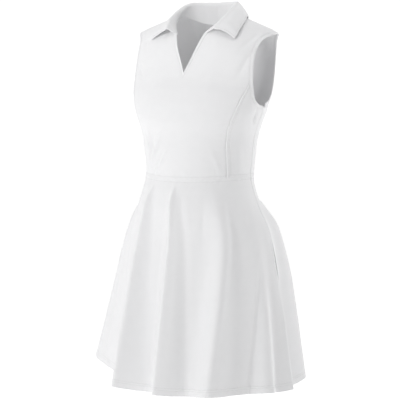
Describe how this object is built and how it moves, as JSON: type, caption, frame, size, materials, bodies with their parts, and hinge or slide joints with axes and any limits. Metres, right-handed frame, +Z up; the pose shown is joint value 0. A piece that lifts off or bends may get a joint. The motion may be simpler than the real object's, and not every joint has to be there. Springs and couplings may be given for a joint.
{
  "type": "sports dress",
  "caption": "Short sleeveless sports dress in worn shape: princess-seamed bodice, turned-down collar over a V notch, waist seam, flared folded skirt and side-seam pockets.",
  "frame": {"origin": "midway between the inner ends of the two shoulder seams, where the wearer's shoulders carry the dress", "axes": "+Z up, -Y towards the front, +X towards the wearer's left"},
  "size_m": [0.5295, 0.4229, 0.8855],
  "materials": {
    "cloth": "matt white stretch knit"
  },
  "bodies": {
    "root": {"front_centre": "cloth", "front_side_left": "cloth", "front_side_right": "cloth", "back_bodice": "cloth", "collar": "cloth", "armhole_band_left": "cloth", "armhole_band_right": "cloth", "skirt_front": "cloth", "skirt_back": "cloth", "pocket_left": "cloth", "pocket_right": "cloth"}
  },
  "joints": []
}
